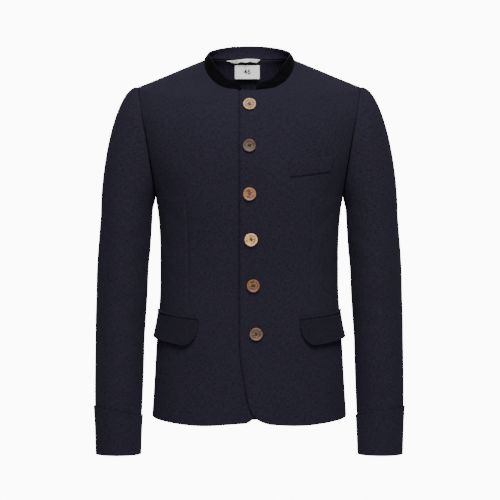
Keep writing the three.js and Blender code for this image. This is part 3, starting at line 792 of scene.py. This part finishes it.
def makeNumber():
    letters = bpy.data.curves.new("sizeNumber", "FONT")
    letters.body, letters.size, letters.extrude = label["number"], label["numberSize"], label["numberDeep"]
    letters.offset, letters.align_x, letters.align_y = label["numberBold"], "CENTER", "CENTER"
    holder = bpy.data.objects.new("sizeNumberText", letters)
    bpy.context.scene.collection.objects.link(holder)
    bpy.context.view_layer.update()
    mesh = bpy.data.meshes.new_from_object(holder.evaluated_get(bpy.context.evaluated_depsgraph_get()))
    bpy.data.objects.remove(holder)
    flat = np.array([v.co for v in mesh.vertices])
    middle = (label["left"] + label["right"]) / 2
    level = label["numberMiddle"] + flat[:, 1]
    lift = label["thickness"] + label["numberDeep"] * 0.6 + flat[:, 2] + labelHang(level)
    points, _ = insidePoint(middle + flat[:, 0], level, lift)
    mesh.vertices.foreach_set("co", (points * mm).ravel())
    mesh.materials.clear()
    return shown(bpy.data.objects.new("sizeNumber", welded(mesh)), smooth=False)


neckFacing, sizeLabel, hangerLoop, sizeNumber = makeFacing(), makeLabel(), makeLoop(), makeNumber()
print("collar and neck inside done")

# Pockets
flap = {
    "innerX": 88.5, "innerTop": -463, "outerTop": -449, "outerAngle": 88, "height": 44, "cornerStart": 0.3,
    "cornerRadius": 22, "lean": 4, "standOff": 4.6, "curl": 1.5, "gap": 0.5, "rows": 34, "columns": 60,
    "cloth": 2, "shown": 1.8, "tuck": 0.6, "tuckReach": 1.8,
    "pipingHeight": 5, "pipingCloth": 1.2, "pipingRound": 1.5, "pipingRows": 8,
}
welt = {"left": 67, "right": 149, "topLeft": -184.3, "topRight": -173.8, "height": 27.5, "lean": 3.4,
        "cloth": 1.6, "shown": 1.1, "roll": 0.45, "rows": 16, "columns": 44}


def flapTop(u):
    return flap["innerTop"] + (flap["outerTop"] - flap["innerTop"]) * u


def liftedShell(name, angle, level, lift, thickness):
    normal = bodyNormal(angle, level)
    lift = lift + bodyPush(angle, level)
    return clothShell(name, bodyPoint(angle, level) + normal * lift[..., None], normal, thickness)


def makeFlap(name, side):
    share, u = pinched(flap["rows"], 0.7)[:, None], pinched(flap["columns"], 0.7)[None, :]
    low = np.maximum(0, share - flap["cornerStart"]) / (1 - flap["cornerStart"])
    inset = flap["lean"] * share + flap["cornerRadius"] * (1 - np.sqrt(1 - low ** 2))
    level = flapTop(u) - share * flap["height"]
    inner = angleAt(flap["innerX"] + inset, level)
    angle = side * (inner + (math.radians(flap["outerAngle"]) - inner) * u)
    lift = flap["gap"] + flap["standOff"] * share ** flap["curl"] + flap["cloth"]
    lift = lift - flap["tuck"] * np.exp(-(share * flap["height"] / flap["tuckReach"]) ** 2)
    return liftedShell(name, angle, level, lift, flap["shown"])


def makePiping(name, side):
    v, u = np.linspace(0, 1, flap["pipingRows"] + 1)[:, None], pinched(flap["columns"], 0.7)[None, :]
    level = flapTop(u) + body["seamGap"] + v * (flap["pipingHeight"] - body["seamGap"])
    inner = angleAt(flap["innerX"], level)
    angle = side * (inner + (math.radians(flap["outerAngle"]) - inner) * u)
    lift = flap["gap"] + flap["pipingCloth"] + flap["pipingRound"] * np.sin(np.pi * v) ** 0.7
    return liftedShell(name, angle, level, lift, flap["pipingCloth"])


def makeWelt():
    down, u = pinched(welt["rows"], 0.7)[:, None], pinched(welt["columns"], 0.7)[None, :]
    x = welt["left"] + (welt["right"] - welt["left"]) * u + welt["lean"] * down * (1 - 3 * u)
    z = welt["topLeft"] + (welt["topRight"] - welt["topLeft"]) * u - welt["height"] * down
    angle, level = placeAt(x, z)
    points = bodyPoint(angle, level)
    across, along = runLength(points, 1), runLength(points, 0)
    lift = flap["gap"] + welt["cloth"] + 0 * level
    for distance in (across, across[:, -1:] - across, along, along[-1:] - along):
        lift = lift + rolled(distance, welt["roll"])
    return liftedShell("breastWelt", angle, level, lift, welt["shown"])


flapLeft, flapRight = makeFlap("flapLeft", 1), makeFlap("flapRight", -1)
pipingLeft, pipingRight = makePiping("pipingLeft", 1), makePiping("pipingRight", -1)
breastWelt = makeWelt()
print("pockets done")

# Buttons of cut antler, each with its own tones
button = {
    "radius": 11.5, "standOff": 0.8, "sides": 72, "holeAway": 2.1, "holeDeep": 1.3, "holeReach": 0.8,
    "uneven": 0.011, "waves": ((3, 1, 1), (5, 2.3, 0.7), (9, 0, 0.4)), "warp": 0.12, "faceFrom": 1.5,
    "profile": [
        (0, 0), (9.6, 0), (10.9, 0.35), (11.5, 1.1), (11.5, 2.5), (11.2, 3.2), (10.6, 3.6), (9.9, 3.6),
        (9.2, 3.4), (8.5, 2.9), (7.6, 2.6), (6.4, 2.45), (5.2, 2.4), (4.4, 2.4), (3.8, 2.4), (3.3, 2.4),
        (2.8, 2.4), (2.4, 2.4), (2.1, 2.4), (1.8, 2.4), (1.4, 2.4), (0.9, 2.4), (0, 2.4),
    ],
}
# The rim colour is laid on the raised rim as a painted highlight; pale and dark are the antler's own mottle.
buttons = sizeTable("x z spin rim pale dark", [
    (0.5, -84, 20, (0.50, 0.30, 0.13), (0.33, 0.195, 0.088), (0.07, 0.04, 0.02)),
    (0.2, -157.3, 65, (0.095, 0.055, 0.026), (0.077, 0.045, 0.021), (0.019, 0.012, 0.007)),
    (0.5, -241.8, 10, (0.33, 0.158, 0.061), (0.30, 0.138, 0.052), (0.045, 0.018, 0.009)),
    (3.1, -321.3, 45, (0.78, 0.475, 0.21), (0.67, 0.39, 0.168), (0.16, 0.084, 0.036)),
    (7, -402.2, 80, (0.215, 0.083, 0.028), (0.222, 0.088, 0.031), (0.028, 0.0125, 0.008)),
    (12, -486.8, 33, (0.165, 0.095, 0.048), (0.155, 0.086, 0.043), (0.022, 0.010, 0.006)),
])
# The band 7.8 to 10.2 mm out lightens the raised rim as a painted highlight.
# Within 2.2 to 3.4 mm of the middle, near-black is laid round the sewing holes as painted shade.
grain = {
    "mottle": (260.0, 260.0, 420.0), "mottleFrom": (0.36, 0.62), "streak": (150.0, 150.0, 900.0),
    "streakFrom": (0.42, 0.7), "streakShare": 0.35, "streakShade": 0.55, "rimHighlightFrom": (0.0078, 0.0102),
    "holeShadeFrom": (0.0034, 0.0022), "holeShade": rgba(0.03, 0.02, 0.015), "holeShadeShare": 0.55,
    "shift": (0.07, 0.0, 0.03),
}


def buttonPlace(one):
    angle, level = placeAt(np.array(float(one["x"])), np.array(float(one["z"])))
    normal = Vector(bodyNormal(angle, level))
    middle = Vector(bodyPoint(angle, level)) + normal * (button["standOff"] + float(bodyPush(angle, level)))
    turn = Vector((0, 0, 1)).rotation_difference(normal).to_matrix().to_4x4()
    return Matrix.Translation(middle) @ turn @ Matrix.Rotation(math.radians(one["spin"]), 4, "Z")


def holePlaces():
    corners = [math.pi / 4 + k * math.pi / 2 for k in range(4)]
    return [(button["holeAway"] * math.cos(a), button["holeAway"] * math.sin(a)) for a in corners]


def onButton(points, one):
    place = np.array(buttonPlace(one))
    return points @ place[:3, :3].T + place[:3, 3]


def makeButton(number, one):
    around = np.linspace(0, 2 * math.pi, button["sides"] + 1)
    grid = []
    for radius, height in button["profile"]:
        wave = sum(high * np.sin(times * around + turn * number) for times, turn, high in button["waves"])
        out = radius / button["radius"]
        reach = radius * (1 + button["uneven"] * (wave * out ** 2 - 1))
        x, y, z = reach * np.cos(around), reach * np.sin(around), height + 0 * around
        if height > button["faceFrom"]:
            z = z + button["warp"] * np.sin(2 * around + number) * out
            for holeX, holeY in holePlaces():
                away = ((x - holeX) ** 2 + (y - holeY) ** 2) / button["holeReach"] ** 2
                z = z - button["holeDeep"] * np.exp(-away)
        grid.append(np.stack([x, y, z], -1))
    rows, columns = len(grid), len(around)
    index = np.arange(rows * columns).reshape(rows, columns)
    faces = np.stack([index[:-1, :-1], index[:-1, 1:], index[1:, 1:], index[1:, :-1]], -1).reshape(-1, 4)
    piece = meshPiece("antlerButton" + str(number + 1), onButton(np.array(grid).reshape(-1, 3), one), faces)
    piece.data.materials.append(antler(number, one))
    return piece


def antler(number, one):
    board = Board("antler" + str(number + 1))
    middle = buttonPlace(one).translation * mm
    seen = board.add("ShaderNodeTexCoord", output=3)
    place = board.add("ShaderNodeVectorMath", {"operation": "SUBTRACT"}, {0: seen, 1: tuple(middle)})
    away = board.add("ShaderNodeVectorMath", {"operation": "LENGTH"}, {0: place}, output=1)
    shift = tuple(number * part for part in grain["shift"])
    own = board.add("ShaderNodeVectorMath", {"operation": "ADD"}, {0: place, 1: shift})
    mottle = board.noise(own, grain["mottle"], 4.0, 0.6).between(*grain["mottleFrom"])
    streak = board.noise(own, grain["streak"], 3.0, 0.6).between(*grain["streakFrom"])
    rim, holeShade = away.between(*grain["rimHighlightFrom"]), away.between(*grain["holeShadeFrom"])
    face = board.mix(mottle, rgba(*one["dark"]), rgba(*one["pale"]))
    line = rgba(*[grain["streakShade"] * tone for tone in one["dark"]])
    face = board.mix(streak * grain["streakShare"], face, line)
    # Painted highlight: the rim colour over the raised rim.
    colour = board.mix(rim * (0.45 + mottle * 0.5), face, rgba(*one["rim"]))
    # Painted shade: near-black over the middle round the sewing holes.
    colour = board.mix(holeShade * grain["holeShadeShare"], colour, grain["holeShade"])
    surface = {"Base Color": colour, "Roughness": 0.42 + mottle * 0.14, "Specular IOR Level": 0.4,
               "Subsurface Weight": 0.05, "Subsurface Radius": (0.002, 0.001, 0.0006)}
    return board.finish(surface, mottle * 0.6 + streak * 0.4, 0.0002)


buttonPieces = [makeButton(number, one) for number, one in enumerate(buttons)]
print("buttons carved")

# Sewing: stitches along paths, by Geometry Nodes
sewing = {
    "holeLength": 22, "holeStart": -4, "holeWidth": 1.3, "tailStitch": 2.1, "holeSpacing": 0.62,
    "thread": 0.16, "stitchShare": 1.24, "buttonThread": 0.32, "labelStitch": 1.7, "labelSpacing": 2.6,
    "labelThread": 0.14,
    "lift": 0.1, "slitHalf": 0.45, "slitDeep": 0.25, "barStep": 0.5, "weltAway": 0.5, "weltThread": 0.55,
    "weltFrom": 0.12, "weltTo": 0.97, "weltPoints": 16, "slitPoints": 17, "slitEnd": 0.05,
    "barShare": 1.4, "loopLevel": 1.3, "loopRise": 1.45, "loopFoot": -0.7,
}


class Tree:  # one Geometry Nodes tree
    def __init__(self, name, sizes):
        self.tree = bpy.data.node_groups.new(name, "GeometryNodeTree")
        face = self.tree.interface
        face.new_socket(name="Path", in_out="INPUT", socket_type="NodeSocketGeometry")
        self.keys = {}
        for title, value in sizes.items():
            socket = face.new_socket(name=title, in_out="INPUT", socket_type="NodeSocketFloat")
            socket.default_value = value
            self.keys[title] = socket.identifier
        face.new_socket(name="Stitches", in_out="OUTPUT", socket_type="NodeSocketGeometry")
        self.given = self.tree.nodes.new("NodeGroupInput").outputs

    def add(self, kind, settings=None, values=None):
        node = self.tree.nodes.new(kind)
        for name, value in (settings or {}).items():
            setattr(node, name, value)
        for name, value in (values or {}).items():
            if isinstance(value, bpy.types.NodeSocket):
                self.tree.links.new(value, node.inputs[name])
            else:
                node.inputs[name].default_value = value
        return node.outputs

    def close(self, geometry, material):
        real = self.add("GeometryNodeRealizeInstances", None, {"Geometry": geometry})
        done = self.add("GeometryNodeSetMaterial", None, {"Geometry": real["Geometry"], "Material": material})
        self.add("NodeGroupOutput", None, {"Stitches": done["Geometry"]})
        return self


def stitchTree(name, sizes, material, upright):
    tree = Tree(name, sizes)
    path = tree.add("GeometryNodeMeshToCurve", None, {"Mesh": tree.given["Path"]})
    evenly = tree.add("GeometryNodeResampleCurve", {"mode": "LENGTH"},
                      {"Curve": path["Curve"], "Length": tree.given["Spacing"]})
    marks = tree.add("GeometryNodeCurveToPoints", {"mode": "EVALUATED"}, {"Curve": evenly["Curve"]})
    ends = []
    for share in (-0.5, 0.5):
        sizes = {0: tree.given["Stitch length"], 1: share}
        half = tree.add("ShaderNodeMath", {"operation": "MULTIPLY"}, sizes)
        ends.append(tree.add("ShaderNodeCombineXYZ", None, {"Z": half["Value"]})["Vector"])
    line = tree.add("GeometryNodeCurvePrimitiveLine", None, {"Start": ends[0], "End": ends[1]})
    section = tree.add("GeometryNodeCurvePrimitiveCircle", None,
                       {"Resolution": 6, "Radius": tree.given["Thread radius"]})
    thread = tree.add("GeometryNodeCurveToMesh", None,
                      {"Curve": line["Curve"], "Profile Curve": section["Curve"], "Fill Caps": True})
    placed = {"Points": marks["Points"], "Instance": thread["Mesh"]}
    if not upright:
        placed["Rotation"] = marks["Rotation"]
    return tree.close(tree.add("GeometryNodeInstanceOnPoints", None, placed)["Instances"], material)


def threadTree(name, sizes, material):
    tree = Tree(name, sizes)
    path = tree.add("GeometryNodeMeshToCurve", None, {"Mesh": tree.given["Path"]})
    section = tree.add("GeometryNodeCurvePrimitiveCircle", None,
                       {"Resolution": 8, "Radius": tree.given["Thread radius"]})
    thread = tree.add("GeometryNodeCurveToMesh", None,
                      {"Curve": path["Curve"], "Profile Curve": section["Curve"], "Fill Caps": True})
    return tree.close(thread["Mesh"], material)


def sew(name, paths, tree, sizes):
    points = np.concatenate(paths) * mm
    edges, start = [], 0
    for path in paths:
        edges += [(start + k, start + k + 1) for k in range(len(path) - 1)]
        start += len(path)
    guide = bpy.data.meshes.new(name + "Path")
    guide.from_pydata(points.tolist(), edges, [])
    holder = bpy.data.objects.new(name + "Path", guide)
    bpy.context.scene.collection.objects.link(holder)
    modifier = holder.modifiers.new("stitches", "NODES")
    modifier.node_group = tree.tree
    for title, value in sizes.items():
        modifier[tree.keys[title]] = value
    bpy.context.view_layer.update()
    mesh = bpy.data.meshes.new_from_object(holder.evaluated_get(bpy.context.evaluated_depsgraph_get()))
    holder.modifiers.clear()
    bpy.data.objects.remove(holder)
    return shown(bpy.data.objects.new(name, mesh))


def frontPoints(x, z, lift):
    angle, level = placeAt(x, z)
    push = bodyPush(angle, level) + lift
    return bodyPoint(angle, level) + bodyNormal(angle, level) * push[..., None]


def buttonholePaths():
    paths, tails = [], []
    for one in buttons:
        start = one["x"] + sewing["holeStart"]
        x = np.linspace(start, start + sewing["holeLength"], 24)
        for offset in (-sewing["holeWidth"], sewing["holeWidth"]):
            paths.append(frontPoints(x, one["z"] + offset + 0 * x, sewing["lift"]))
        z = one["z"] + np.linspace(-sewing["tailStitch"], sewing["tailStitch"], 5)
        for step in (0, sewing["barStep"]):
            tails.append(frontPoints(start + sewing["holeLength"] + step + 0 * z, z, sewing["lift"]))
    return paths, tails


def slitPaintedShadeFaces():  # the slit between the two rows of stitches, sunk a little, in near-black thread colour as painted shade
    points, faces = [], []
    for one in buttons:
        base = len(points)
        u = np.linspace(0, 1, sewing["slitPoints"])
        x = one["x"] + sewing["holeStart"] + sewing["holeLength"] * u
        half = sewing["slitHalf"] * np.sin(np.pi * u) ** 0.5 + sewing["slitEnd"]
        top, foot = sewing["lift"] / 2, -sewing["slitDeep"]
        for row, lift in ((half, top), (half, foot), (-half, foot), (-half, top)):
            points += list(frontPoints(x, one["z"] + row, lift))
        count = len(u)
        for row in range(4):
            first, second = base + row * count, base + (row + 1) % 4 * count
            faces += [(first + k, first + k + 1, second + k + 1, second + k) for k in range(count - 1)]
        faces += [(base, base + count, base + 2 * count, base + 3 * count)]
        faces += [(base + count - 1, base + 4 * count - 1, base + 3 * count - 1, base + 2 * count - 1)]
    return np.array(points), np.array(faces)


def buttonThreads():
    paths, holes, t = [], np.array(holePlaces()), np.linspace(0, 1, 9)[:, None]
    for one in buttons:
        for first, second in ((0, 1), (3, 2)):
            for side in (-sewing["buttonThread"], sewing["buttonThread"]):
                start, end = holes[first] + (0, side), holes[second] + (0, side)
                rise = sewing["loopLevel"] + sewing["loopRise"] * np.sin(np.pi * t) ** 0.35
                over = np.hstack([start + (end - start) * t, rise])
                path = np.vstack([(*start, sewing["loopFoot"]), over, (*end, sewing["loopFoot"])])
                paths.append(onButton(path, one))
    return paths


def labelPath():
    x = np.linspace(label["left"] + label["stitchInset"], label["right"] - label["stitchInset"], 20)
    z = label["top"] - label["stitchInset"] + 0 * x
    return insidePoint(x, z, label["thickness"] + labelHang(z) + sewing["lift"])[0]


def weltPath():  # its inner end is stitched down
    down = np.linspace(sewing["weltFrom"], sewing["weltTo"], sewing["weltPoints"])
    x = welt["left"] + welt["lean"] * down - sewing["weltAway"]
    z = welt["topLeft"] - welt["height"] * down
    return frontPoints(x, z, sewing["lift"] / 2)


darkThread, whiteThread = wovenTape("thread"), wovenTape("whiteThread")
stitchSizes = {"Spacing": 0.0006, "Stitch length": 0.0014, "Thread radius": 0.00016}
upright = stitchTree("buttonholeStitches", stitchSizes, darkThread, True)
running = stitchTree("runningStitches", stitchSizes, whiteThread, False)
twist = threadTree("sewnThread", {"Thread radius": 0.0003}, darkThread)
holePaths, tailPaths = buttonholePaths()
buttonholes = sew("buttonholeStitches", holePaths, upright, {
    "Spacing": sewing["holeSpacing"] * mm, "Stitch length": sewing["holeWidth"] * sewing["stitchShare"] * mm,
    "Thread radius": sewing["thread"] * mm})
bars = sew("buttonholeBars", tailPaths, twist, {"Thread radius": sewing["barShare"] * sewing["thread"] * mm})
paintedShadeSlits = meshPiece("buttonholeSlitsPaintedShade", *slitPaintedShadeFaces())
weltStitches = sew("weltStitches", [weltPath()], twist, {"Thread radius": sewing["weltThread"] * mm})
threads = sew("buttonThreads", buttonThreads(), twist, {"Thread radius": sewing["buttonThread"] * mm})
labelStitches = sew("labelStitches", [labelPath()], running, {
    "Spacing": sewing["labelSpacing"] * mm, "Stitch length": sewing["labelStitch"] * mm,
    "Thread radius": sewing["labelThread"] * mm})
# The slit takes the near-black thread colour as painted shade.
paintedShadeSlits.data.materials.append(darkThread)
print("sewing done")

# Every piece: the nodes it stands for, its material, its slot and its flat cut in millimetres
cutPieces = [
    (topFront, ["front_left"], cloth, "cloth", (262, 640, 0.139)),
    (underFront, ["front_right"], cloth, "cloth", (275, 640, 0.143)),
    (backLeft, ["back_left"], cloth, "cloth", (245, 700, 0.146)),
    (backRight, ["back_right"], cloth, "cloth", (245, 700, 0.146)),
    (sleeveLeft, ["sleeve_left"], cloth, "cloth", (340, 650, 0.185)),
    (sleeveRight, ["sleeve_right"], cloth, "cloth", (340, 650, 0.185)),
    (cuffLeft, ["cuff_left"], cloth, "cloth", (285, 80, 0.0222)),
    (cuffRight, ["cuff_right"], cloth, "cloth", (285, 80, 0.0222)),
    (collarBlack, ["collar"], napCloth, "collar_black", (420, 34, 0.0095)),
    # The collar's inside and the neck facing take the lighter wool copy, painted light.
    (collarInside, ["collar_facing"], neckClothPaintedLight, "cloth", (410, 34, 0.0092)),
    (neckFacing, ["back_facing"], neckClothPaintedLight, "cloth", (165, 80, 0.0104)),
    (sizeLabel, ["label"], wovenTape("label"), "label_white", (45, 26, 0.00117)),
    (hangerLoop, ["hanger_loop"], wovenTape("ribbon"), "ribbon", (66, 10, 0.0005)),
    # The flaps and pipings take the darker wool copy, painted shade.
    (flapLeft, ["flap_left"], flapClothPaintedShade, "cloth", (134, 46, 0.0059)),
    (flapRight, ["flap_right"], flapClothPaintedShade, "cloth", (134, 46, 0.0059)),
    (pipingLeft, ["piping_left"], flapClothPaintedShade, "cloth", (134, 10, 0.0009)),
    (pipingRight, ["piping_right"], flapClothPaintedShade, "cloth", (134, 10, 0.0009)),
    (breastWelt, ["breast_welt"], cloth, "cloth", (90, 28, 0.0025)),
]
for piece, nodes, material, slot, (width, length, area) in cutPieces:
    piece.data.materials.append(material)
    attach(piece, "root")
    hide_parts(*nodes)
    width * mm
    length * mm

for number, piece in enumerate(buttonPieces):
    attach(piece, "root")
    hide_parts("button_" + str(number + 1))
sizeNumber.data.materials.append(wovenTape("number"))
for piece in (buttonholes, bars, paintedShadeSlits, threads, weltStitches, labelStitches, sizeNumber):
    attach(piece, "root")
    "label_white" if piece in (labelStitches, sizeNumber) else "cloth"
print("pieces put on the body")

# Studio: a pale floor well below the hem, soft light from the front and above, and the photograph's camera
studio = {
    "floorLevel": -1.45, "floorHalf": 2.4, "cameraAway": 3.75, "cameraX": 0.0013, "cameraZ": -0.3393,
    "frameWidth": 0.9, "around": 0.13, "behind": 11.0, "behindFrom": 0.966, "behindTo": 0.985,
    "lights": sizeTable("name at size power", [
        ("keyLight", (0.2, -2.2, 2.15), 1.8, 185), ("fillLight", (0.0, -3.9, 0.35), 1.4, 33),
        ("backLight", (0.0, 2.8, 1.8), 2.4, 40),
    ]),
}


def makeFloor():
    half, level = studio["floorHalf"] / mm, studio["floorLevel"] / mm
    corners = ((-half, -half), (half, -half), (half, half), (-half, half))
    points = np.array([(x, y, level) for x, y in corners])
    mesh = bpy.data.meshes.new("floor")
    mesh.from_pydata((points * mm).tolist(), [], [(0, 1, 2, 3)])
    floor = shown(bpy.data.objects.new("floor", mesh))
    board = Board("paleFloor")
    place = board.add("ShaderNodeTexCoord", output=3)
    grain = board.noise(place, (6.0, 6.0, 6.0), 3.0)
    colour = board.mix(grain, rgba(0.80, 0.80, 0.80), rgba(0.86, 0.86, 0.86))
    floor.data.materials.append(board.finish({"Base Color": colour, "Roughness": 0.9}, grain, 0.0002))


def makeLights():
    world = bpy.data.worlds.new("studio")
    bpy.context.scene.world = world
    world.use_nodes = True
    board = Board("studio", world)
    seen = board.add("ShaderNodeTexCoord", output=0)
    behind = board.part(seen, 1).between(studio["behindFrom"], studio["behindTo"])
    strength = behind * (studio["behind"] - studio["around"]) + studio["around"]
    sky = board.add("ShaderNodeBackground", None, {"Color": rgba(1, 1, 1), "Strength": strength})
    board.add("ShaderNodeOutputWorld", None, {"Surface": sky})
    for light in studio["lights"]:
        lamp = bpy.data.lights.new(light["name"], "AREA")
        lamp.energy, lamp.size = light["power"], light["size"]
        holder = bpy.data.objects.new(light["name"], lamp)
        bpy.context.scene.collection.objects.link(holder)
        holder.location = light["at"]
        aim = Vector((0, 0, -0.35)) - Vector(light["at"])
        holder.rotation_euler = aim.to_track_quat("-Z", "Y").to_euler()


def makeCamera():
    lens = bpy.data.cameras.new("camera")
    lens.sensor_width = 36
    lens.lens = lens.sensor_width * studio["cameraAway"] / studio["frameWidth"]
    camera = bpy.data.objects.new("camera", lens)
    bpy.context.scene.collection.objects.link(camera)
    camera.location = (studio["cameraX"], -studio["cameraAway"], studio["cameraZ"])
    camera.rotation_euler = (math.pi / 2, 0, 0)
    bpy.context.scene.camera = camera


makeFloor()
makeLights()
makeCamera()
print("studio ready")
